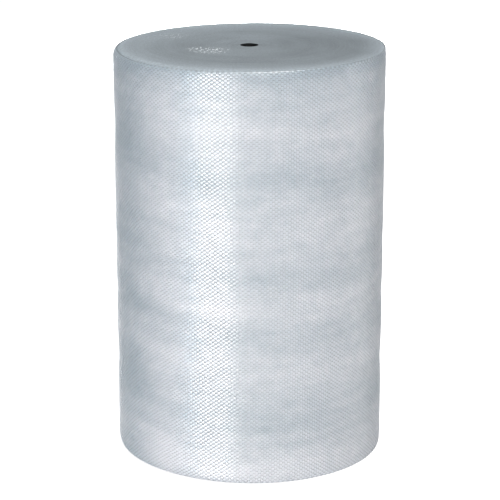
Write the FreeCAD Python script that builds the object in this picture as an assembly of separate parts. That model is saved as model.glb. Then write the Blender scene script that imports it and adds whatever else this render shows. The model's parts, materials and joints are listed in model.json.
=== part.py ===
"""A large roll of bubble wrap that stands on its end, with a bare hole through the middle.

The film is wound on itself with no core, so the whole roll is one solid. Its outline is a
spiral: the outer wall grows by one film thickness in a full turn, and the free end of the
film makes a low step down the back of the roll. The bubbles stand in upright columns all
round the wall. Each column is drawn as one upright rib, as high as its bubbles. On both ends
the edge of the film shows as a spiral line, which starts by the hole and runs out at the
foot of that step.

Frame: +Z up along the roll, origin on the axis of the hole, in the face it stands on.
Lengths are in millimetres and angles in degrees.
"""

import os
from math import pi

import FreeCAD
import Part

# The roll: its diameter is twice the radius at the free end, where it is widest
ROLL_HEIGHT = 1200.0
ROLL_DIAMETER = 790.0
HOLE_DIAMETER = 52.0

# The film: the space that one turn takes, bubbles included
FILM_THICKNESS = 3.2

# The columns of bubbles: how far apart they stand, and how deep it is between them
COLUMN_PITCH = 7.75
COLUMN_DEPTH = 2.4

# Where the free end lies, turned from +X towards +Y, which puts it at the back
FREE_END_ANGLE = 90.0

# The spiral line on the ends: each turn of it stands for several turns of the film
DRAWN_TURNS = 9
LINE_WIDTH = 3.0
LINE_DEPTH = 2.6

# How far the cutters stand clear of the faces that they cut
CUTTER_REACH = 1.0

ROLL_RADIUS = ROLL_DIAMETER / 2
HOLE_RADIUS = HOLE_DIAMETER / 2
HALF_TURN = 180.0
FULL_TURN = 360.0
COLUMNS = round(pi * ROLL_DIAMETER / COLUMN_PITCH)
UP = FreeCAD.Vector(0, 0, 1)
ORIGIN = FreeCAD.Vector(0, 0, 0)

# The line starts one film thickness outside the hole and ends one inside the outer wall
LINE_START_RADIUS = HOLE_RADIUS + FILM_THICKNESS
LINE_END_RADIUS = ROLL_RADIUS - FILM_THICKNESS
LINE_PITCH = (LINE_END_RADIUS - LINE_START_RADIUS) / DRAWN_TURNS


def half_turns(start_radius, pitch):
    """The two half circles of one turn of a spiral that starts on +X, as (centre x, radius).

    The first goes from +X to -X and the second back to +X. Each is half a pitch wider across
    than the one before, and its centre is moved so that it starts where the last one ended.
    """
    first = (-pitch / 4, start_radius + pitch / 4)
    second = (pitch / 4, start_radius + 3 * pitch / 4)
    return first, second


def wall_point(share, depth):
    """A point of the outer wall this share of a turn from the foot of the free end, on +X."""
    radius = ROLL_RADIUS - FILM_THICKNESS * (1 - share) - depth
    turn = FreeCAD.Rotation(UP, FULL_TURN * share)
    return turn.multVec(FreeCAD.Vector(radius, 0, 0))


def ribbed_wall():
    """The points of the outer turn, from crown to valley to crown of each column of bubbles."""
    points = []
    for column in range(COLUMNS):
        points.append(wall_point(column / COLUMNS, 0.0))
        points.append(wall_point((column + 0.5) / COLUMNS, COLUMN_DEPTH))
    points.append(wall_point(1.0, 0.0))
    return points


def wound_film():
    """The roll with plain ends: the ribbed outer turn, the step at its free end, and the hole."""
    points = ribbed_wall()
    outline = Part.makePolygon(points + points[:1])
    roll = Part.Face(outline).extrude(UP * ROLL_HEIGHT)
    hole = Part.makeCylinder(
        HOLE_RADIUS,
        ROLL_HEIGHT + 2 * CUTTER_REACH,
        ORIGIN - UP * CUTTER_REACH,
    )
    return roll.cut(hole)


def line_cutter(centre_x, radius, upper, face_z, outward):
    """Half a turn of the V-shaped line, cut into the end face at face_z that faces outward."""
    slope = LINE_WIDTH / 2 / LINE_DEPTH
    mouth_z = face_z + outward * CUTTER_REACH
    half_mouth = slope * (LINE_DEPTH + CUTTER_REACH)
    side = 1 if upper else -1
    section = Part.makePolygon(
        [
            FreeCAD.Vector(centre_x + side * (radius - half_mouth), 0, mouth_z),
            FreeCAD.Vector(centre_x + side * (radius + half_mouth), 0, mouth_z),
            FreeCAD.Vector(centre_x + side * radius, 0, face_z - outward * LINE_DEPTH),
            FreeCAD.Vector(centre_x + side * (radius - half_mouth), 0, mouth_z),
        ]
    )
    return Part.Face(section).revolve(FreeCAD.Vector(centre_x, 0, 0), UP, HALF_TURN)


def end_lines(face_z, outward):
    """The cutters of the whole spiral line on one end of the roll."""
    cutters = []
    for turn in range(DRAWN_TURNS):
        first, second = half_turns(LINE_START_RADIUS + turn * LINE_PITCH, LINE_PITCH)
        cutters.append(line_cutter(*first, True, face_z, outward))
        cutters.append(line_cutter(*second, False, face_z, outward))
    return cutters


def bubble_wrap_roll():
    """The whole roll, turned so that the free end lies at the back."""
    roll = wound_film()
    roll = roll.cut(end_lines(ROLL_HEIGHT, outward=1))
    roll = roll.cut(end_lines(0.0, outward=-1))
    roll.rotate(ORIGIN, UP, FREE_END_ANGLE)
    return roll


os.makedirs("parts", exist_ok=True)
roll = bubble_wrap_roll()
roll.exportStep("parts/bubble_wrap_roll.step")
print("bubble_wrap_roll:", "solids", len(roll.Solids), "valid", roll.isValid())
print("volume in litres:", round(roll.Volume / 1e6, 2))
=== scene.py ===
# %% [markdown]
# # A large roll of bubble wrap
#
# Bubble wrap is two thin sheets of clear polythene. One is flat and the other is full of
# small round domes, and the two are welded together so that each dome holds air. Here about
# 150 m of it is wound on itself round a bare hole, and the roll stands on its end.
#
# The CAD part gives the outline, the hole and the size. This script dresses it. The outer
# turn is built as real bubbles, the two ends as the edge of the film in its true number of
# turns, and the hole gets a lining. Everything is in metres, in the frame of the CAD part.

import json
import math

import bmesh
import bpy
from mathutils import Matrix, Vector, noise


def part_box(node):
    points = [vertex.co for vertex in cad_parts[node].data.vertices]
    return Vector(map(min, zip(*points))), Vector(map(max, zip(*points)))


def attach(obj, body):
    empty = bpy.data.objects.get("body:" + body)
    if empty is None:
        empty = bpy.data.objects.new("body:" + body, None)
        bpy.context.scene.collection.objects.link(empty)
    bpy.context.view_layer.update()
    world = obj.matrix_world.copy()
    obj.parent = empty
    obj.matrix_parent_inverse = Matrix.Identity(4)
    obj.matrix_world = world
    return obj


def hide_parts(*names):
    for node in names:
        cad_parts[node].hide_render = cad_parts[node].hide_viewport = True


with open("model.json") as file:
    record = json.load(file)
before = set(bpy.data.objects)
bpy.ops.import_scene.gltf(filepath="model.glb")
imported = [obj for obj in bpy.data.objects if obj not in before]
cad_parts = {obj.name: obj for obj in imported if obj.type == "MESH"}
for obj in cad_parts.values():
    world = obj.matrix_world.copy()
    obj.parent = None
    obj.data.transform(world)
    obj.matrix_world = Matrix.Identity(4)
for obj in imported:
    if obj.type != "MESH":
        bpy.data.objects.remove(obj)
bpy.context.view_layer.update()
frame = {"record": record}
CAD_NODE = "bubble_wrap_roll"

# %% [markdown]
# ## Sizes
#
# The height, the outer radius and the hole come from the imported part, so that they can't
# drift from it. The film's own sizes are those of small-bubble film. The bubbles stand in
# upright columns, and each column is moved up by half a bubble from the one beside it.

# %% Read the sizes from the part
low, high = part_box(CAD_NODE)
ROLL_HEIGHT = high.z - low.z
ROLL_RADIUS = high.y
HOLE_RADIUS = next(
    mount["dims"]["r_mm"] / 1000
    for mount in frame["record"]["mounts"]
    if mount["name"] == "core_hole"
)
FULL_TURN = 2 * math.pi
print("height", round(ROLL_HEIGHT, 4), "radius", round(ROLL_RADIUS, 4), "hole", HOLE_RADIUS)

# %% Give the sizes of the film
# The room that one turn takes, and the side where the film ends, turned from +X towards +Y
FILM_THICKNESS = 0.0032
FREE_END_ANGLE = math.pi / 2

# How many columns of bubbles go round the roll, and how many bubbles stand in each
COLUMNS = 320
ROWS = 106
COLUMN_STEP = FULL_TURN * ROLL_RADIUS / COLUMNS
ROW_STEP = ROLL_HEIGHT / ROWS
print("columns are", round(COLUMN_STEP * 1000, 2), "mm apart, rows", round(ROW_STEP * 1000, 2))

# %% [markdown]
# ## Turning a bmesh into a finished piece
#
# Every piece stands for the one CAD solid and rides with it. This helper does the last steps
# that they share: smooth faces, the materials, fixing the piece to the roll and hiding the CAD
# part. Edges that were marked sharp before stay sharp.


# %% The last steps of every piece
def finish_piece(bm, name, *materials):
    """Make an object of the bmesh, give it its materials and fix it to the roll."""
    for face in bm.faces:
        face.smooth = True
    mesh = bpy.data.meshes.new(name)
    bm.to_mesh(mesh)
    bm.free()
    for material in materials:
        mesh.materials.append(material)
    piece = bpy.data.objects.new(name, mesh)
    bpy.context.scene.collection.objects.link(piece)
    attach(piece, "root")
    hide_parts(CAD_NODE)
    mesh.calc_loop_triangles()
    print(name, "has", len(mesh.loop_triangles), "triangles")


print("every piece stands for", CAD_NODE)

# %% [markdown]
# ## Small helpers for shader nodes
#
# A material is a tree of nodes. Adding a node takes the same few lines each time: make it, set
# its mode, and give each input a plain value or the output of another node. These helpers take
# up those lines, so that an effect reads as a list of its steps.


# %% Add nodes to a tree
def add_node(tree, kind, inputs, **settings):
    """Add a node with its settings, and feed its inputs with values or with other outputs."""
    node = tree.nodes.new(kind)
    for name, value in settings.items():
        setattr(node, name, value)
    for key, value in inputs.items():
        if isinstance(value, bpy.types.NodeSocket):
            tree.links.new(value, node.inputs[key])
        else:
            node.inputs[key].default_value = value
    return node


def add_math(tree, operation, *values, clamp=False):
    """The result of a Math node that works on these values or outputs."""
    settings = {"operation": operation, "use_clamp": clamp}
    return add_node(tree, "ShaderNodeMath", dict(enumerate(values)), **settings).outputs[0]


def add_range(tree, value, from_ends, to_ends):
    """The result of a Map Range node, which stretches one range of numbers over another."""
    inputs = {
        "Value": value,
        "From Min": from_ends[0],
        "From Max": from_ends[1],
        "To Min": to_ends[0],
        "To Max": to_ends[1],
    }
    return add_node(tree, "ShaderNodeMapRange", inputs).outputs["Result"]


print("helpers:", add_node.__name__, add_math.__name__, add_range.__name__)


# %% Add colours and places to a tree
def add_tint(tree, share, first_color, second_color):
    """The colour this share of the way from the first colour to the second."""
    ramp = add_node(tree, "ShaderNodeValToRGB", {"Fac": share})
    ramp.color_ramp.elements[0].color = (*first_color, 1)
    ramp.color_ramp.elements[1].color = (*second_color, 1)
    return ramp.outputs["Color"]


def object_place(tree):
    """The place of each point in the object's own coordinates."""
    return add_node(tree, "ShaderNodeTexCoord", {}).outputs["Object"]


print("helpers:", add_tint.__name__, object_place.__name__)


# %% Start a node group
def new_group(name, inputs, output):
    """An empty node group with these float inputs and one float output."""
    group = bpy.data.node_groups.new(name, "ShaderNodeTree")
    for label, value in inputs.items():
        socket = group.interface.new_socket(label, in_out="INPUT", socket_type="NodeSocketFloat")
        socket.default_value = value
    group.interface.new_socket(output, in_out="OUTPUT", socket_type="NodeSocketFloat")
    given = group.nodes.new("NodeGroupInput")
    result = group.nodes.new("NodeGroupOutput")
    return group, given.outputs, result.inputs[output]


print("helper:", new_group.__name__)

# %% [markdown]
# ## Film that is milky where it lies in layers
#
# One sheet of bubble film is clear, but light that enters a hundred layers is scattered and
# comes out again nearly white. Real clear sheets in such a pile would be slow to render and
# full of noise. So the face of the roll is a milky plastic that lets light in a little way,
# under a glossy skin. Two effects vary it. Haze is a slow change in how milky the film is, in
# bands that run round the roll. Crinkle is the fine unevenness of thin film, which breaks the
# highlight up. Every film material uses both, so each is a node group. A third group paints
# pale specks on the upper end, as painted glints where the cut edges would catch the light, in
# more than one place.

# %% Build the haze
NOISE_DETAIL = 3.0
# How fine the bands are, and how much faster they change upwards than round the roll
BAND_SCALE = 6.0
BAND_STRETCH = 5.0
# By what share of the noise the film gets milkier or clearer than its middle
HAZE_SPAN = 0.7
HAZE_MIDDLE = 0.5


def build_haze():
    """Cloudy bands that run round the roll. The span says how far they go from a half."""
    inputs = {"Band Scale": BAND_SCALE, "Stretch": BAND_STRETCH, "Span": HAZE_SPAN}
    group, given, result = new_group("haze", inputs, "Haze")
    split = add_node(group, "ShaderNodeSeparateXYZ", {0: object_place(group)}).outputs
    taller = add_math(group, "MULTIPLY", split["Z"], given["Stretch"])
    stretched = add_node(
        group, "ShaderNodeCombineXYZ", {"X": split["X"], "Y": split["Y"], "Z": taller}
    )
    cloud_inputs = {
        "Vector": stretched.outputs[0],
        "Scale": given["Band Scale"],
        "Detail": NOISE_DETAIL,
    }
    cloud = add_node(group, "ShaderNodeTexNoise", cloud_inputs)
    centred = add_math(group, "SUBTRACT", cloud.outputs["Fac"], HAZE_MIDDLE)
    spread = add_math(group, "MULTIPLY_ADD", centred, given["Span"], HAZE_MIDDLE)
    group.links.new(spread, result)
    return group


HAZE = build_haze()
print("group:", HAZE.name)

# %% Build the crinkle
CRINKLE_SCALE = 260.0
CRINKLE_ROUGHNESS = 0.6
# The heights between which nearly all of the crinkle lies
CRINKLE_HEIGHTS = (0.3, 0.7)


def build_crinkle():
    """The height of fine, uneven film, from 0 to 1, for a Bump node."""
    group, given, result = new_group("crinkle", {"Scale": CRINKLE_SCALE}, "Height")
    fold_inputs = {
        "Vector": object_place(group),
        "Scale": given["Scale"],
        "Detail": NOISE_DETAIL,
        "Roughness": CRINKLE_ROUGHNESS,
    }
    folds = add_node(group, "ShaderNodeTexNoise", fold_inputs)
    group.links.new(folds.outputs["Fac"], result)
    return group


CRINKLE = build_crinkle()
print("group:", CRINKLE.name)

# %% Build the painted glints
GLINT_REACH = 0.06
# The share of the reach over which the specks are at their full strength
GLINT_CORE = 0.4
# How fine the specks are, the scale along Y that draws them out, and the noise at which they
# start and are whole
SPECK_SCALE = 170.0
SPECK_STRETCH = 0.35
SPECK_START = 0.55
SPECK_FULL = 0.61


def build_painted_glints():
    """Specks of painted glint round one place on the upper end, from 0 to 1."""
    inputs = {"Centre X": 0.0, "Centre Y": 0.0, "Reach": GLINT_REACH, "Strength": 1.0}
    group, given, result = new_group("painted_glints", inputs, "Specks")
    place = object_place(group)
    centre_inputs = {"X": given["Centre X"], "Y": given["Centre Y"], "Z": ROLL_HEIGHT}
    centre = add_node(group, "ShaderNodeCombineXYZ", centre_inputs)
    both_places = {0: place, 1: centre.outputs[0]}
    away = add_node(group, "ShaderNodeVectorMath", both_places, operation="DISTANCE")
    near = add_math(group, "DIVIDE", away.outputs["Value"], given["Reach"])
    fade = add_range(group, near, (1.0, GLINT_CORE), (0.0, 1.0))
    stretch_inputs = {"Vector": place, "Scale": (1.0, SPECK_STRETCH, 1.0)}
    longer = add_node(group, "ShaderNodeMapping", stretch_inputs)
    grain_inputs = {"Vector": longer.outputs["Vector"], "Scale": SPECK_SCALE}
    grain = add_node(group, "ShaderNodeTexNoise", grain_inputs)
    pick = add_range(group, grain.outputs["Fac"], (SPECK_START, SPECK_FULL), (0.0, 1.0))
    here = add_math(group, "MULTIPLY", fade, pick)
    group.links.new(add_math(group, "MULTIPLY", here, given["Strength"]), result)
    return group


PAINTED_GLINTS = build_painted_glints()
print("group:", PAINTED_GLINTS.name)

# %% [markdown]
# ## The film materials
#
# The same film looks different on its face, on its cut edges and deep in the hole, where its
# near-black colour is painted shade, so one function makes a film material and four sets of
# values tell them apart. Two numbers come from the mesh, where each point carries them. Slack
# says how loosely the film lies, and loose film is milkier; the same number also carries
# painted light and shade. Rise says how high a point is on its bubble or ridge, and the
# valleys are painted darker, as painted shade.

# %% Mix the colour of the film
# How much milkier the film gets for its slack and for its painted light and shade
SLACK_AND_SHADING_SHARE = 0.5


def read_number(tree, name):
    """A number that the mesh carries at each of its points."""
    return add_node(tree, "ShaderNodeAttribute", {}, attribute_name=name).outputs["Fac"]


def film_color(tree, crinkle, clear_color, milky_color, haze_span, valley_shade, mottle):
    """The colour of film that is milky where it is loose, with painted light and shade, and
    painted shade in its valleys.
    """
    haze = add_node(tree, "ShaderNodeGroup", {"Span": haze_span}, node_tree=HAZE)
    loose_and_shaded = read_number(tree, "slack_and_shading")
    bands = haze.outputs["Haze"]
    milkiness_and_shading = add_math(tree, "MULTIPLY_ADD", loose_and_shaded, SLACK_AND_SHADING_SHARE, bands, clamp=True)
    tint = add_tint(tree, milkiness_and_shading, clear_color, milky_color)
    # Painted shade: the valleys, where rise is low, are darkened
    shade = add_range(tree, read_number(tree, "rise"), (0.0, 1.0), (valley_shade, 1.0))
    dapple = add_range(tree, crinkle, CRINKLE_HEIGHTS, (1 - mottle, 1 + mottle))
    both = add_math(tree, "MULTIPLY", shade, dapple)
    darken = add_node(tree, "ShaderNodeVectorMath", {0: tint, "Scale": both}, operation="SCALE")
    return darken.outputs["Vector"]


print("slack counts for", SLACK_AND_SHADING_SHARE, "of itself in how milky the film is")

# %% Make a film material from its own values
# How much rougher or smoother than its average the film is where it crinkles
SMEAR = 0.2
# A pile of sheets mirrors more light than one sheet, so this is above the index of polythene
PILE_IOR = 1.9
SHINE_ROUGHNESS = 0.12
# How far in the light is scattered, in metres, and alike for red, green and blue
SCATTER_DEPTH = 0.006
SCATTER_RADIUS = (1.0, 1.0, 1.0)


def film_material(
    name,
    clear_color,
    milky_color,
    haze_span,
    valley_shade,
    gloss,
    shine,
    roughness,
    scatter,
    crinkle_scale,
    crinkle_height,
    mottle,
):
    """Film with its own colours, gloss and crinkle. Mottle dapples its colour with the crinkle."""
    material = bpy.data.materials.new(name)
    material.use_nodes = True
    tree = material.node_tree
    inputs = tree.nodes["Principled BSDF"].inputs
    folds = add_node(tree, "ShaderNodeGroup", {"Scale": crinkle_scale}, node_tree=CRINKLE)
    crinkle = folds.outputs["Height"]
    color = film_color(tree, crinkle, clear_color, milky_color, haze_span, valley_shade, mottle)
    tree.links.new(color, inputs["Base Color"])
    smear_ends = (roughness * (1 - SMEAR), roughness * (1 + SMEAR))
    tree.links.new(add_range(tree, crinkle, CRINKLE_HEIGHTS, smear_ends), inputs["Roughness"])
    bump = add_node(tree, "ShaderNodeBump", {"Height": crinkle, "Distance": crinkle_height})
    tree.links.new(bump.outputs["Normal"], inputs["Normal"])
    inputs["Subsurface Weight"].default_value = scatter
    inputs["Subsurface Radius"].default_value = SCATTER_RADIUS
    inputs["Subsurface Scale"].default_value = SCATTER_DEPTH
    inputs["Specular IOR Level"].default_value = gloss
    inputs["IOR"].default_value = PILE_IOR
    inputs["Coat Weight"].default_value = shine
    inputs["Coat Roughness"].default_value = SHINE_ROUGHNESS
    return material


print("crinkle heights lie between", *CRINKLE_HEIGHTS)

# %% The face of the film
side_film = film_material(
    "side_film",
    clear_color=(0.435, 0.505, 0.570),
    milky_color=(0.835, 0.842, 0.900),
    haze_span=HAZE_SPAN,
    valley_shade=0.40,
    gloss=1.0,
    shine=0.25,
    roughness=0.33,
    scatter=0.1,
    crinkle_scale=CRINKLE_SCALE,
    crinkle_height=0.0002,
    mottle=0.0,
)
print("material:", side_film.name)

# %% The cut edges of the film, on the ends and along the rims
film_edges = film_material(
    "film_edges",
    clear_color=(0.070, 0.080, 0.086),
    milky_color=(0.510, 0.574, 0.624),
    haze_span=0.25,
    valley_shade=0.68,
    gloss=0.3,
    shine=0.0,
    roughness=0.65,
    scatter=0.0,
    crinkle_scale=150.0,
    crinkle_height=0.0010,
    mottle=0.20,
)
cut_rims = film_material(
    "cut_rims",
    clear_color=(0.30, 0.34, 0.37),
    milky_color=(0.40, 0.44, 0.47),
    haze_span=HAZE_SPAN,
    valley_shade=0.9,
    gloss=0.3,
    shine=0.0,
    roughness=0.65,
    scatter=0.0,
    crinkle_scale=150.0,
    crinkle_height=0.0004,
    mottle=0.1,
)
print("materials:", film_edges.name, cut_rims.name)

# %% The wall of the hole, painted near black as painted shade, since hardly any light comes in
hole_painted_shade = film_material(
    "hole_painted_shade",
    clear_color=(0.010, 0.011, 0.012),
    milky_color=(0.016, 0.017, 0.018),
    haze_span=HAZE_SPAN,
    valley_shade=1.0,
    gloss=0.3,
    shine=0.0,
    roughness=0.5,
    scatter=0.0,
    crinkle_scale=120.0,
    crinkle_height=0.0010,
    mottle=0.0,
)
print("material:", hole_painted_shade.name)

# %% Paint glints on the upper end
# Pale specks painted where the cut edges would catch the light: painted glints
GLINT_COLOR = (0.85, 0.90, 0.92)
# X and Y of the middle of each place with painted glints, how far it reaches, and how strong it is
GLINT_PLACES = (
    (-0.137, -0.070, 0.050, 1.0),
    (-0.105, -0.085, GLINT_REACH, 1.0),
    (-0.228, 0.150, GLINT_REACH, 0.35),
)


def add_painted_glints(material, centre_x, centre_y, reach, strength):
    """Lay pale specks of painted highlight over the colour that a material has so far."""
    tree = material.node_tree
    base_color = tree.nodes["Principled BSDF"].inputs["Base Color"]
    under = base_color.links[0].from_socket
    values = {"Centre X": centre_x, "Centre Y": centre_y, "Reach": reach, "Strength": strength}
    painted_glints = add_node(tree, "ShaderNodeGroup", values, node_tree=PAINTED_GLINTS)
    layers = {"Fac": painted_glints.outputs["Specks"], "Color1": under, "Color2": (*GLINT_COLOR, 1)}
    blend = add_node(tree, "ShaderNodeMixRGB", layers)
    tree.links.new(blend.outputs["Color"], base_color)


for glint_place in GLINT_PLACES:
    add_painted_glints(film_edges, *glint_place)
print("glinting places:", len(GLINT_PLACES))

# %% [markdown]
# ## One bubble
#
# A bubble is a low dome with a nearly flat top and steep sides. There are about 34,000 of
# them, so each one has only a few faces, where a sphere would take hundreds. It is made
# of two outlines that lie flat at first: the six-sided rim of its cell, which fits against its
# neighbours, and the eight-sided shoulder of the dome. They are bridged, the shoulder is
# raised and bent to a curve, and the cap inside it is poked in the middle to raise the crown.
# Smooth shading rounds the sides. The edges of the rim and the shoulder are marked sharp, so
# that each bubble still reads as a disc from a step away.

# %% Model one bubble
CELL_SIDES = 6
# The cell's corners point along the film, and its flat sides lie above and below
CELL_TURN = math.pi / CELL_SIDES
# How far a cell reaches from its middle, along and across the film. With these two values the
# cells fill the sheet.
CELL_REACH_ALONG = COLUMN_STEP * 2 / 3
CELL_REACH_ACROSS = ROW_STEP / math.sqrt(3)
# The size of the dome. Its shoulder sags towards the two edges of the film.
BUBBLE_SIDES = 8
BUBBLE_RADIUS = 0.0045
BUBBLE_HEIGHT = 0.0030
SHOULDER_HEIGHT = 0.0027
SHOULDER_SAG = 0.0013


def model_bubble():
    """One cell of film with its bubble, lying flat, with the rim of the cell at height zero."""
    bm = bmesh.new()
    rise = bm.verts.layers.float.new("rise")
    rim = bmesh.ops.create_circle(bm, cap_ends=False, segments=CELL_SIDES, radius=1.0)["verts"]
    bmesh.ops.rotate(bm, verts=rim, matrix=Matrix.Rotation(CELL_TURN, 3, "Z"))
    bmesh.ops.scale(bm, verts=rim, vec=(CELL_REACH_ALONG, CELL_REACH_ACROSS, 1.0))
    shoulder = bmesh.ops.create_circle(
        bm, cap_ends=True, segments=BUBBLE_SIDES, radius=BUBBLE_RADIUS
    )["verts"]
    bmesh.ops.bridge_loops(bm, edges=bm.edges[:])
    for edge in bm.edges:
        edge.smooth = len(set(edge.verts) & set(rim)) == 1
    for vert in shoulder:
        vert.co.z = SHOULDER_HEIGHT - SHOULDER_SAG * abs(vert.co.normalized().y)
    cap = [face for face in bm.faces if len(face.verts) == BUBBLE_SIDES]
    crown = bmesh.ops.poke(bm, faces=cap)["verts"]
    for vert in crown:
        vert.co.z = BUBBLE_HEIGHT
    # The rim keeps rise 0 and the dome gets 1, so the materials paint the rim darker: painted
    # shade
    for vert in shoulder + crown:
        vert[rise] = 1.0
    return bm


trial = model_bubble()
print("a bubble has", len(trial.verts), "points and", len(trial.faces), "faces")
trial.free()

# %% [markdown]
# ## A sheet of bubbles
#
# The sheet is made as the factory makes it, flat, and rolled up later. X runs along the film
# and Y across its width. Copies are made by doubling what is there, which takes a few steps
# where a loop over single bubbles would take thousands. Then the seams are welded and the
# sheet is slit straight along both edges, through the bubbles, as a real roll is.

# %% Repeat a bubble into a sheet
MERGE_DISTANCE = 1e-5


def weld(bm):
    """Join points that lie on each other."""
    bmesh.ops.remove_doubles(bm, verts=bm.verts, dist=MERGE_DISTANCE)


def repeat(bm, copies, step):
    """Repeat what is in the bmesh in a row, by doubling it as long as that fits."""
    counts = len(bm.verts), len(bm.edges), len(bm.faces)
    made = 1
    while made < copies:
        adding = min(made, copies - made)
        originals = []
        for items, count in zip((bm.verts, bm.edges, bm.faces), counts):
            originals += list(items)[: count * adding]
        copied = bmesh.ops.duplicate(bm, geom=originals)["geom"]
        verts = [item for item in copied if isinstance(item, bmesh.types.BMVert)]
        bmesh.ops.translate(bm, verts=verts, vec=step * made)
        made += adding


def slit(bm, place, outward):
    """Cut the sheet along a plane and drop what lies outward of it."""
    everything = bm.verts[:] + bm.edges[:] + bm.faces[:]
    bmesh.ops.bisect_plane(bm, geom=everything, plane_co=place, plane_no=outward, clear_outer=True)


def bubble_sheet(columns):
    """A flat sheet of bubbles, as wide as the roll is high, with its first column on X = 0."""
    bm = model_bubble()
    repeat(bm, ROWS + 1, Vector((0, ROW_STEP, 0)))
    weld(bm)
    repeat(bm, 2, Vector((COLUMN_STEP, ROW_STEP / 2, 0)))
    repeat(bm, columns // 2, Vector((2 * COLUMN_STEP, 0, 0)))
    weld(bm)
    slit(bm, Vector((0, 0, 0)), Vector((0, -1, 0)))
    slit(bm, Vector((0, ROLL_HEIGHT, 0)), Vector((0, 1, 0)))
    return bm


trial = bubble_sheet(2)
print("two columns of bubbles have", len(trial.faces), "faces")
trial.free()

# %% [markdown]
# ## The shape of the outer turn
#
# The film grows outwards by its own thickness in one turn and ends in a low step at the back.
# It isn't a perfect drum. Film varies a little in gauge across its width, and more than a
# hundred layers add that up to soft waists that run right round the roll. Along each edge the
# last rows of bubbles are squashed and slump inwards, which gives the roll round shoulders,
# softest on one side. All this could be sculpted, but formulas keep the panels of the outer
# turn closed where they meet, because equal points of the film come to lie in equal places.

# %% Two helpers for things that vary round the roll
# The place in the noise where the roll stands. Another place gives it other waists and bands.
NOISE_SEED = Vector((3.1, 7.7, 1.9))


def heading(angle):
    """The direction away from the axis on this side of the roll."""
    return Vector((math.cos(angle), math.sin(angle), 0.0))


def bell(place, middle, half_width):
    """A smooth bump, 1 at its middle, that has nearly gone at twice the half width."""
    return math.exp(-(((place - middle) / half_width) ** 2))


print("a bell at its half width:", round(bell(1.0, 0.0, 1.0), 2))

# %% Describe the waists
# Height of the middle of each waist, half its width, and how far it goes in
WAISTS = (
    (0.965, 0.055, 0.0026),
    (0.630, 0.035, 0.0012),
    (0.470, 0.035, 0.0020),
    (0.270, 0.050, 0.0028),
)
# How far the waists wander up and down, by what share they differ in depth, and how quickly
# each of these changes round the roll
WAIST_WANDER = 0.012
WANDER_PACE = 1.7
DEPTH_VARIETY = 0.35
DEPTH_PACE = 2.3


def how_far_in(angle, height):
    """How much smaller than its spiral the roll is here, from its waists."""
    around = heading(angle) + NOISE_SEED
    moved = height + WAIST_WANDER * noise.noise(around * WANDER_PACE)
    inward = 0.0
    for middle, half_width, depth in WAISTS:
        inward += depth * bell(moved, middle, half_width)
    return inward * (1.0 + DEPTH_VARIETY * noise.noise(around * DEPTH_PACE))


print("deepest waist:", max(depth for _, _, depth in WAISTS) * 1000, "mm")

# %% Describe the shoulders
# How wide the slumped edge of the roll is, how far in it goes on its firmest and its softest
# side, which side that is, and how far it sinks for each metre that it goes in
SHOULDER_WIDTH = 0.030
FIRM_SLUMP = 0.0022
SOFT_SLUMP = 0.0100
SOFT_SIDE = math.radians(195)
SINK_SHARE = 0.7


def edge_slump(angle):
    """How far in the very edge of the roll has slumped on this side of it."""
    softness = (1 + math.cos(angle - SOFT_SIDE)) / 2
    return FIRM_SLUMP + (SOFT_SLUMP - FIRM_SLUMP) * softness**2


def slump(angle, to_edge):
    """How far in the roll has slumped this far from its edge, which makes a round shoulder."""
    nearness = 1 - min(1.0, max(0.0, to_edge / SHOULDER_WIDTH))
    return edge_slump(angle) * (1 - math.sqrt(1 - nearness**2))


print("the edge slumps by", FIRM_SLUMP * 1000, "to", SOFT_SLUMP * 1000, "mm")

# %% [markdown]
# ## Where the film lies slack, and painted light and shade
#
# Slack film has more air between its layers and looks whiter, and film that is wound tight
# looks clearer and bluer. A painted map could say which is where, but a number at each point
# of the mesh needs no picture, and every material can read it. The same number also carries
# painted light and shade. Most of it comes from bands that run round the roll and climb on its
# soft side. They are partly looser and tighter film, and partly painted light and shade of its
# soft waists and bulges; the lowest is painted light from the floor. Two upright bands cross
# them, a painted shade at the left edge and a painted highlight beside the bright band. Just
# under the upper edge the film is painted clearer and darker, as painted shade. Small patches
# and single bubbles differ a little too.

# %% Place the bands
# Height of the middle of each band, half its width, and how slack it is. The bands are partly
# looser and tighter film and partly painted light and shade of soft waists and bulges.
SLACK_AND_SHADING_BANDS = (
    (1.020, 0.045, 0.27),
    (0.750, 0.060, 0.29),
    (0.520, 0.035, 0.30),
    (0.330, 0.035, 0.36),
    (0.885, 0.050, -0.40),
    (0.600, 0.035, -0.20),
    (0.430, 0.035, -0.20),
    (0.190, 0.050, -0.38),
    # The lowest band is painted light, where the white floor would light the foot of the roll
    (0.040, 0.050, 0.50),
)
# Parts of the roll painted clearer or milkier all the way up, as painted shade at the left edge
# and a painted highlight beside the bright band: where, half how wide, how slack
UPRIGHT_LIGHT_AND_SHADE = (
    (math.radians(202), math.radians(18), -0.74),
    (math.radians(236), math.radians(14), 0.35),
)
# The level bands climb on the soft side of the roll: how far, where most, and half how wide
BAND_RISE = 0.085
BAND_RISE_SIDE = math.radians(206)
BAND_RISE_WIDTH = math.radians(30)
print("level bands:", len(SLACK_AND_SHADING_BANDS), "upright bands:", len(UPRIGHT_LIGHT_AND_SHADE))

# %% Describe how slack the film is, and the light and shade painted on it
# How far the bands wander up and down, by what share they differ in strength, how quickly each
# of these changes round the roll, and how quickly the strength also changes up it
BAND_WANDER = 0.024
BAND_PACE = 2.1
STRENGTH_VARIETY = 0.8
STRENGTH_PACE = 1.9
STRENGTH_CLIMB = 3
# How much clearer and darker the film is painted at the upper edge, as painted shade just under
# the rim, how far down that reaches, by what share the reach differs round the roll, and on
# which side it is longest
RIM_SHADE = 1.1
RIM_SHADE_DEPTH = 0.040
RIM_SHADE_SWAY = 0.5
RIM_SHADE_SIDE = math.radians(320)


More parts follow.
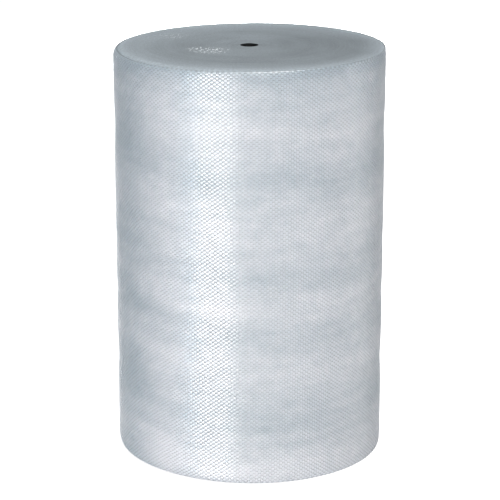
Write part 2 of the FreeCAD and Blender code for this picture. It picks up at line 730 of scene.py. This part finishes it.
def side_slack_and_shading(angle, height):
    """How loosely the film lies here, with painted light and shade, from about -1 to 1,
    apart from its small patches.
    """
    around = heading(angle) + NOISE_SEED
    moved = height + BAND_WANDER * noise.noise(around * BAND_PACE)
    moved -= BAND_RISE * bell(angle, BAND_RISE_SIDE, BAND_RISE_WIDTH)
    slack_and_shading = 0.0
    for middle, half_width, strength in SLACK_AND_SHADING_BANDS:
        slack_and_shading += strength * bell(moved, middle, half_width)
    climbed = around * STRENGTH_PACE + Vector((0, 0, height * STRENGTH_CLIMB))
    slack_and_shading *= 1.0 + STRENGTH_VARIETY * noise.noise(climbed)
    # Painted shade at the left edge and a painted highlight beside the bright band
    for side, half_width, strength in UPRIGHT_LIGHT_AND_SHADE:
        slack_and_shading += strength * bell(angle, side, half_width)
    # Just under the upper edge the film is painted clearer and darker: painted shade
    shade_depth = RIM_SHADE_DEPTH * (1 + RIM_SHADE_SWAY * math.cos(angle - RIM_SHADE_SIDE))
    return slack_and_shading - RIM_SHADE * math.exp(-(ROLL_HEIGHT - height) / shade_depth)


print("slack at mid height, at the back:", round(side_slack_and_shading(FREE_END_ANGLE, ROLL_HEIGHT / 2), 2))

# %% [markdown]
# ## Rolling up the sheet
#
# A modifier could bend the flat sheet, but not along a spiral that also has waists and round
# shoulders. So each point is moved by itself. Its place along the film gives its angle, its
# place across the film its height, and its height on the bubble is added to the radius.

# %% Roll up a sheet
# By what share the bubbles differ in height, how strongly single bubbles and small patches
# differ in slackness, and how finely each of these changes along the film
HEIGHT_SPREAD = 0.25
HEIGHT_FINENESS = 160
BUBBLE_MOTTLE = 0.35
BUBBLE_FINENESS = 120
PATCH_MOTTLE = 0.28
PATCH_FINENESS = 30


def spiral_radius(turned):
    """The radius of the crowns of the bubbles, this far round from the foot of the free end."""
    return ROLL_RADIUS - FILM_THICKNESS * (1 - turned / FULL_TURN)


def roll_up(bm, start_angle):
    """Roll a flat sheet round the axis, with X = 0 of the sheet at the start angle."""
    slack_and_shading = bm.verts.layers.float.new("slack_and_shading")
    for vert in bm.verts:
        along, height, rise = vert.co
        angle = start_angle + along / ROLL_RADIUS
        spot = Vector((along, height, 0.0))
        vert[slack_and_shading] = side_slack_and_shading(angle, height)
        vert[slack_and_shading] += BUBBLE_MOTTLE * noise.noise(spot * BUBBLE_FINENESS)
        vert[slack_and_shading] += PATCH_MOTTLE * noise.noise(spot * PATCH_FINENESS)
        spread = 1 - HEIGHT_SPREAD * abs(noise.noise(spot * HEIGHT_FINENESS))
        slumped = slump(angle, min(height, ROLL_HEIGHT - height))
        radius = spiral_radius(angle - FREE_END_ANGLE) - how_far_in(angle, height) - slumped
        radius += rise * spread - BUBBLE_HEIGHT
        sunk = math.copysign(SINK_SHARE * slumped, ROLL_HEIGHT / 2 - height)
        vert.co = Vector((radius * math.cos(angle), radius * math.sin(angle), height + sunk))


trial = bubble_sheet(2)
roll_up(trial, FREE_END_ANGLE)
print("a rolled point:", [round(x, 4) for x in trial.verts[:][0].co])
trial.free()

# %% [markdown]
# ## The outer turn in four panels
#
# A mesh stays light enough to handle when it is cut into quarters, and the cuts follow the
# rims of the cells, so no seam shows. The first quarter starts two columns early and passes
# under the free end. The last one is cut straight across at the free end. The edges that the
# slitting left open are drawn inwards, as the cut bubbles are closed by the turn below them.
# That narrow rim faces up, towards the lights. In the glossy film of the side it would shine
# as a bright line, so it has a duller material of its own.

# %% Close the open edges of a sheet
SIDE_FILM_SLOT = 0
CUT_RIM_SLOT = 1


def boundary_on(bm, axis, value):
    """The open edges of the sheet that lie at this value of X (0) or Y (1)."""
    found = []
    for edge in bm.edges:
        if edge.is_boundary and all(abs(v.co[axis] - value) < MERGE_DISTANCE for v in edge.verts):
            found.append(edge)
    return found


def draw_in(bm, edges, depth, material_slot):
    """Extrude open edges of the flat sheet to this depth under it, as faces in this slot."""
    rise = bm.verts.layers.float["rise"]
    # The drawn-in edges get rise 0, which paints them darker: painted shade
    for edge in edges:
        for vert in edge.verts:
            vert[rise] = 0.0
    made = bmesh.ops.extrude_edge_only(bm, edges=edges)["geom"]
    for item in made:
        if isinstance(item, bmesh.types.BMVert):
            item.co.z = -depth
        elif isinstance(item, bmesh.types.BMFace):
            item.material_index = material_slot


trial = bubble_sheet(2)
print("open edges along the foot of two columns:", len(boundary_on(trial, 1, 0.0)))
trial.free()

# %% Build the four panels
PANEL_NAMES = ("film_back_left", "film_front_left", "film_front_right", "film_back_right")
UNDERLAP_COLUMNS = 2
RIM_DEPTH = 0.0006
# Where the film is cut off, measured along it
FREE_END = (COLUMNS - 1) * COLUMN_STEP + CELL_REACH_ALONG / 2


def film_panel(quarter):
    """One quarter of the outer turn, rolled up in its place."""
    columns = COLUMNS // len(PANEL_NAMES)
    first = quarter * columns
    early = UNDERLAP_COLUMNS if quarter == 0 else 0
    bm = bubble_sheet(columns + early)
    bmesh.ops.translate(bm, verts=bm.verts, vec=((first - early) * COLUMN_STEP, 0, 0))
    if quarter == len(PANEL_NAMES) - 1:
        slit(bm, Vector((FREE_END, 0, 0)), Vector((1, 0, 0)))
        step_depth = FILM_THICKNESS - BUBBLE_HEIGHT
        draw_in(bm, boundary_on(bm, 0, FREE_END), step_depth, SIDE_FILM_SLOT)
    for edge_height in (0.0, ROLL_HEIGHT):
        draw_in(bm, boundary_on(bm, 1, edge_height), RIM_DEPTH, CUT_RIM_SLOT)
    roll_up(bm, FREE_END_ANGLE + FULL_TURN - FREE_END / ROLL_RADIUS)
    bmesh.ops.recalc_face_normals(bm, faces=bm.faces)
    return bm


for quarter, panel_name in enumerate(PANEL_NAMES):
    finish_piece(film_panel(quarter), panel_name, side_film, cut_rims)

# %% [markdown]
# ## The ends of the roll
#
# On each end the edge of the film shows as a spiral of more than a hundred turns, each a flat
# ridge with a shallow gap beside it. The section of all the turns is drawn once, as a zigzag
# from the hole to the outer turn, and spun round the axis. That gives closed rings. Moving
# each point outwards in step with its angle turns the rings into one spiral, because the end
# of each ring then meets the start of the next.

# %% Draw the section of all the turns
END_START = HOLE_RADIUS
END_STOP = ROLL_RADIUS - 2 * FILM_THICKNESS - FIRM_SLUMP
END_TURNS = round((END_STOP - END_START) / FILM_THICKNESS)
END_PITCH = (END_STOP - END_START) / END_TURNS
RIDGE_SHARE = 0.60
GAP_DEPTH = 0.0003


def end_section():
    """The zigzag section of all the turns, on the XZ plane, with the ridges at height zero."""
    bm = bmesh.new()
    rise = bm.verts.layers.float.new("rise")
    bm.verts.layers.float.new("slack_and_shading")
    last = bm.verts.new((END_START, 0, 0))
    for turn in range(END_TURNS):
        start = END_START + turn * END_PITCH
        ridge_end = start + RIDGE_SHARE * END_PITCH
        gap = start + (1 + RIDGE_SHARE) / 2 * END_PITCH
        for radius, height in ((ridge_end, 0.0), (gap, -GAP_DEPTH), (start + END_PITCH, 0.0)):
            last = bmesh.ops.extrude_vert_indiv(bm, verts=[last])["verts"][0]
            last.co = Vector((radius, 0, height))
    # Rise falls to 0 at the bottom of each gap, which paints the gaps darker: painted shade
    for vert in bm.verts:
        vert[rise] = 1.0 + vert.co.z / GAP_DEPTH
    return bm


print("turns on each end:", END_TURNS, "at", round(END_PITCH * 1000, 2), "mm")

# %% [markdown]
# ## How the turns lie
#
# Film edges don't lie level. Each turn, and each group of turns, stands a little higher or
# lower than the next, and the turns wander sideways. Near the rim they follow the round
# shoulder down. Loose turns look paler, and the outermost turns are the loosest. Paler still
# are the last few turns at the rim, as painted light where the end rounds over into the side,
# and one side of the end, as painted light where more light falls on it.

# %% Describe how the turns lie
# How quickly the height of a turn, and of a group of turns, changes round the roll and from
# turn to turn
TURN_PACE = 1.5
TURN_CHANGE = 260
GROUP_PACE = 0.8
GROUP_CHANGE = 22
# How far below the edge the ridges start, how far they differ, and how much of that comes
# from single turns and from groups
RIDGE_DROP = 0.0002
EDGE_UNEVEN = 0.0006
TURN_WEIGHT = 0.6
GROUP_WEIGHT = 0.8
# How far the turns wander sideways, how quickly, and how suddenly the shoulder squeezes them
WOBBLE = 0.0015
WOBBLE_PACE = 9
SQUEEZE_POWER = 4


def unevenness(radius, angle):
    """How far each turn and each group of turns stands out here, both from -1 to 1."""
    around = heading(angle) + NOISE_SEED
    of_turn = noise.noise(around * TURN_PACE + Vector((0, 0, radius * TURN_CHANGE)))
    of_group = noise.noise(around * GROUP_PACE + Vector((0, 0, radius * GROUP_CHANGE)))
    return of_turn, of_group


def settle(radius, angle, height):
    """Where a point of the spiral comes to lie, as film edges wander and lie unevenly."""
    outward = heading(angle)
    share = (radius - END_START) / (END_STOP + END_PITCH - END_START)
    wander = WOBBLE * math.sin(math.pi * share)
    wander *= noise.noise(outward * radius * WOBBLE_PACE + NOISE_SEED)
    squeeze = (edge_slump(angle) - FIRM_SLUMP) * share**SQUEEZE_POWER
    of_turn, of_group = unevenness(radius, angle)
    drop = RIDGE_DROP + EDGE_UNEVEN * (1 + TURN_WEIGHT * of_turn + GROUP_WEIGHT * of_group) / 2
    drop += SINK_SHARE * slump(angle, END_STOP - radius)
    place = outward * (radius + wander - squeeze)
    place.z = height - drop
    return place


print("the ridges differ in height by about", EDGE_UNEVEN * 1000, "mm")

# %% Describe how slack the turns are, and the light painted on the end
# How much the turns differ in looseness, with how high they stand
TURN_CONTRAST = 0.14
# How much paler one side of the end is painted, as painted light where more light falls on it,
# and which side that is
END_LIGHT = 0.25
END_LIGHT_SIDE = math.radians(142)
# How loose the turns get towards the rim, and how suddenly
RIM_LOOSENESS = 0.45
RIM_POWER = 4
# How much paler still the outermost turns are, as painted light where the end rounds over into
# the side, and how far in from the rim that fades
PALE_RIM = 0.50
PALE_RIM_WIDTH = 0.030


def end_slack_and_shading(radius, angle):
    """How loose the turns are here on an end, with painted light on one side and at the rim."""
    share = radius / ROLL_RADIUS
    slack_and_shading = TURN_CONTRAST * sum(unevenness(radius, angle))
    # Painted light: one side of the end is paler
    slack_and_shading += END_LIGHT * share * math.cos(angle - END_LIGHT_SIDE)
    slack_and_shading += RIM_LOOSENESS * share**RIM_POWER
    # Painted light: the outermost turns are paler still
    return slack_and_shading + PALE_RIM * math.exp((radius - END_STOP) / PALE_RIM_WIDTH)


print("slack at the rim, in front:", round(end_slack_and_shading(END_STOP, -math.pi / 2), 2))

# %% Turn the section into a spiral
END_STEPS = 112
# Rounding can put a point of the first section just short of a full turn, so a point that is
# less than this short of it is taken as one of the first section.
HALF_STEP = FULL_TURN / END_STEPS / 2
# Openings with up to this many sides are closed. Only the one where the spiral starts at the
# hole has so few.
GAP_SIDES = 12


def film_end():
    """The spiral of film edges, facing up, with its ridges just under height zero."""
    bm = end_section()
    spun = bmesh.ops.spin(
        bm,
        geom=bm.verts[:] + bm.edges[:],
        cent=(0, 0, 0),
        axis=(0, 0, 1),
        angle=FULL_TURN,
        steps=END_STEPS,
        use_merge=False,
    )
    end_of_turns = set(spun["geom_last"])
    slack_and_shading = bm.verts.layers.float["slack_and_shading"]
    for vert in bm.verts:
        radius = vert.co.xy.length
        turned = math.atan2(vert.co.y, vert.co.x) % FULL_TURN
        if vert in end_of_turns:
            turned = FULL_TURN
        elif turned > FULL_TURN - HALF_STEP:
            turned = 0.0
        at_hole = radius < END_START + RIDGE_SHARE * END_PITCH / 2
        if not at_hole:
            radius += END_PITCH * turned / FULL_TURN
        angle = turned + FREE_END_ANGLE
        vert[slack_and_shading] = end_slack_and_shading(radius, angle)
        vert.co = settle(radius, angle, vert.co.z)
    weld(bm)
    open_edges = [edge for edge in bm.edges if edge.is_boundary]
    bmesh.ops.holes_fill(bm, edges=open_edges, sides=GAP_SIDES)
    return bm


print("steps in a turn:", END_STEPS)


# %% Place both ends
def place_end(bm, height, facing_up):
    """Lift the end to its height, and turn it over for the underside."""
    if not facing_up:
        bmesh.ops.scale(bm, verts=bm.verts, vec=(1, 1, -1))
    bmesh.ops.translate(bm, verts=bm.verts, vec=(0, 0, height))
    bmesh.ops.recalc_face_normals(bm, faces=bm.faces)
    upward = sum(face.normal.z for face in bm.faces)
    if (upward > 0) != facing_up:
        bmesh.ops.reverse_faces(bm, faces=bm.faces)
    return bm


finish_piece(place_end(film_end(), ROLL_HEIGHT, facing_up=True), "top_turns", film_edges)
finish_piece(place_end(film_end(), 0.0, facing_up=False), "bottom_turns", film_edges)

# %% [markdown]
# ## The hole
#
# The innermost turn is the wall of the hole. A tube would do, but it would be perfectly round,
# and nothing stiff holds this wall. So it is spun from an upright line of points and dented a
# little. Its faces point to the axis.

# %% Line the hole
LINING_STEPS = 72
LINING_ROWS = 48
# How deep the dents are, how finely they change, and how far the whole wall is set back, as a
# share of their depth
DENT = 0.0003
DENT_FINENESS = 45
SETBACK = 0.5


def hole_lining():
    """The wall of the hole, facing inwards."""
    bm = bmesh.new()
    last = bm.verts.new((HOLE_RADIUS, 0, 0))
    for row in range(LINING_ROWS):
        last = bmesh.ops.extrude_vert_indiv(bm, verts=[last])["verts"][0]
        last.co.z = ROLL_HEIGHT * (row + 1) / LINING_ROWS
    bmesh.ops.spin(
        bm,
        geom=bm.verts[:] + bm.edges[:],
        cent=(0, 0, 0),
        axis=(0, 0, 1),
        angle=FULL_TURN,
        steps=LINING_STEPS,
        use_merge=True,
    )
    weld(bm)
    for vert in bm.verts:
        outward = Vector((vert.co.x, vert.co.y, 0)).normalized()
        dent = noise.noise(vert.co * DENT_FINENESS + NOISE_SEED) + SETBACK
        vert.co += outward * DENT * dent
    bmesh.ops.recalc_face_normals(bm, faces=bm.faces)
    face = bm.faces[:][0]
    if face.normal.dot(face.calc_center_median() * Vector((1, 1, 0))) > 0:
        bmesh.ops.reverse_faces(bm, faces=bm.faces)
    return bm


finish_piece(hole_lining(), "hole_lining", hole_painted_shade)

# %% [markdown]
# ## The camera
#
# The photo was taken with a long lens from a little above. The distance, height and lens come
# from fitting a plain camera to the outline of the roll in the photo. The roll's middle sits a
# few pixels above and left of the middle of the picture, so the camera is aimed that little
# below and right of it.

# %% Place the camera
DIAMETERS_AWAY = 7.58
CAMERA_DISTANCE = DIAMETERS_AWAY * 2 * ROLL_RADIUS
CAMERA_ELEVATION = math.radians(15.94)
LENS_MM = 145.7
SENSOR_MM = 36.0
VIEW_LIMIT = 200.0
AIM_BELOW = 0.0138
AIM_RIGHT = 0.0021

camera_data = bpy.data.cameras.new("camera")
camera_data.lens = LENS_MM
camera_data.sensor_width = SENSOR_MM
camera_data.clip_end = VIEW_LIMIT
camera = bpy.data.objects.new("camera", camera_data)
bpy.context.scene.collection.objects.link(camera)
middle = Vector((0, 0, ROLL_HEIGHT / 2))
away = Vector((0, -math.cos(CAMERA_ELEVATION), math.sin(CAMERA_ELEVATION)))
upward = Vector((0, math.sin(CAMERA_ELEVATION), math.cos(CAMERA_ELEVATION)))
camera.location = middle + away * CAMERA_DISTANCE
aim = middle - upward * AIM_BELOW + Vector((AIM_RIGHT, 0, 0))
camera.rotation_euler = (aim - camera.location).to_track_quat("-Z", "Y").to_euler()
bpy.context.scene.camera = camera
print("camera at", [round(x, 3) for x in camera.location])

# %% [markdown]
# ## The floor
#
# The photo is a cut-out on white, so the floor is nearly white. Light alone would have to be
# very strong to make it so, and would wash out the roll. The floor glows instead, but only as
# the camera sees it, so the glow adds no light to the roll.

# %% Lay the floor
FLOOR_SIZE = 60.0
FLOOR_WHITE = 0.80
FLOOR_ROUGHNESS = 0.9
FLOOR_MOTTLE = 0.01
FLOOR_MOTTLE_SCALE = 2.0
FLOOR_GLOW = 0.92


def floor_material():
    """Plain pale paper, with a faint mottle and a glow of its own."""
    material = bpy.data.materials.new("pale_floor")
    material.use_nodes = True
    tree = material.node_tree
    inputs = tree.nodes["Principled BSDF"].inputs
    mottle_inputs = {"Vector": object_place(tree), "Scale": FLOOR_MOTTLE_SCALE}
    mottle = add_node(tree, "ShaderNodeTexNoise", mottle_inputs).outputs["Fac"]
    darker = FLOOR_WHITE * (1 - FLOOR_MOTTLE)
    tint = add_tint(tree, mottle, (darker,) * 3, (FLOOR_WHITE,) * 3)
    tree.links.new(tint, inputs["Base Color"])
    inputs["Roughness"].default_value = FLOOR_ROUGHNESS
    inputs["Emission Color"].default_value = (1, 1, 1, 1)
    seen = add_node(tree, "ShaderNodeLightPath", {}).outputs["Is Camera Ray"]
    tree.links.new(add_math(tree, "MULTIPLY", seen, FLOOR_GLOW), inputs["Emission Strength"])
    return material


bm = bmesh.new()
bmesh.ops.create_grid(bm, x_segments=1, y_segments=1, size=FLOOR_SIZE / 2)
floor_mesh = bpy.data.meshes.new("floor")
bm.to_mesh(floor_mesh)
bm.free()
floor_mesh.materials.append(floor_material())
floor = bpy.data.objects.new("floor", floor_mesh)
bpy.context.scene.collection.objects.link(floor)
print("floor is", FLOOR_SIZE, "m across")

# %% [markdown]
# ## The light
#
# Glossy film shows each light as a band, so the places of the lights matter more than their
# number. Two small keys, low and left of the camera, draw the bright upright band. A bluish
# fill on the left cools the side beside it, and a plain one on the right keeps the far edge
# grey. Three panels high in front light the upper end and the round shoulder under it, and one
# over the back lifts the end's far side. Behind the roll, two low keys and a wide fill do for
# its back what the others do for its front. They stand lower than the upper end, so they
# hardly touch it.

# %% Set the lights
# Name, azimuth and elevation in degrees, distance, width and height in metres, power in watts,
# and colour. Azimuth 0 is the camera's side, and 90 is its right.
LIGHTS = (
    ("key_right", -21, -2, 8.0, 1.0, 0.6, 152, (1.0, 0.98, 0.96)),
    ("key_left", -37, -2, 8.0, 1.0, 0.6, 145, (1.0, 0.96, 0.92)),
    ("left_fill", -48, 3, 8.0, 1.0, 2.0, 38, (0.25, 0.72, 1.0)),
    ("right_fill", 97, 3, 8.0, 1.0, 2.0, 40, (0.95, 0.97, 1.0)),
    ("high_panel", 20, 50, 8.0, 5.0, 5.0, 390, (1.0, 0.97, 0.94)),
    ("high_right", 60, 50, 8.0, 3.2, 3.2, 78, (0.85, 0.95, 1.0)),
    ("high_left", -24, 50, 8.0, 1.1, 1.1, 38, (1.0, 0.98, 0.95)),
    ("above", -150, 75, 5.0, 2.0, 2.0, 60, (0.95, 0.98, 1.0)),
    ("back_key_left", -174, -2, 8.0, 1.0, 0.6, 95, (1.0, 0.98, 0.96)),
    ("back_key_right", 172, -2, 8.0, 1.0, 0.6, 115, (1.0, 0.98, 0.96)),
    ("back_fill", 180, 0, 8.0, 4.0, 1.0, 220, (0.97, 0.98, 1.0)),
)


def soft_light(name, azimuth, elevation, distance, width, height, power, color):
    """A soft panel that faces the middle of the roll."""
    data = bpy.data.lights.new(name, "AREA")
    data.shape = "RECTANGLE"
    data.size = width
    data.size_y = height
    data.energy = power
    data.color = color
    light = bpy.data.objects.new(name, data)
    bpy.context.scene.collection.objects.link(light)
    turn = math.radians(azimuth)
    climb = math.radians(elevation)
    level = math.cos(climb)
    side = Vector((math.sin(turn) * level, -math.cos(turn) * level, math.sin(climb)))
    light.location = middle + side * distance
    light.rotation_euler = (-side).to_track_quat("-Z", "Y").to_euler()
    light.visible_camera = False


for values in LIGHTS:
    soft_light(*values)

# %% [markdown]
# ## The world
#
# The world gives a dim bluish light from all sides, so that no shadow is black. To the camera
# it is nearly as white as the floor, which hides the horizon in low views.

# %% Set the world
WORLD_COLOR = (0.92, 0.96, 1.0)
WORLD_STRENGTH = 0.06
WORLD_SEEN_STRENGTH = 1.0

world = bpy.data.worlds.new("studio")
world.use_nodes = True
world_tree = world.node_tree
background_inputs = world_tree.nodes["Background"].inputs
background_inputs["Color"].default_value = (*WORLD_COLOR, 1)
seen = add_node(world_tree, "ShaderNodeLightPath", {}).outputs["Is Camera Ray"]
brightness = add_range(world_tree, seen, (0.0, 1.0), (WORLD_STRENGTH, WORLD_SEEN_STRENGTH))
world_tree.links.new(brightness, background_inputs["Strength"])
bpy.context.scene.world = world
bpy.context.scene.view_settings.view_transform = "Standard"
print("world:", world.name)
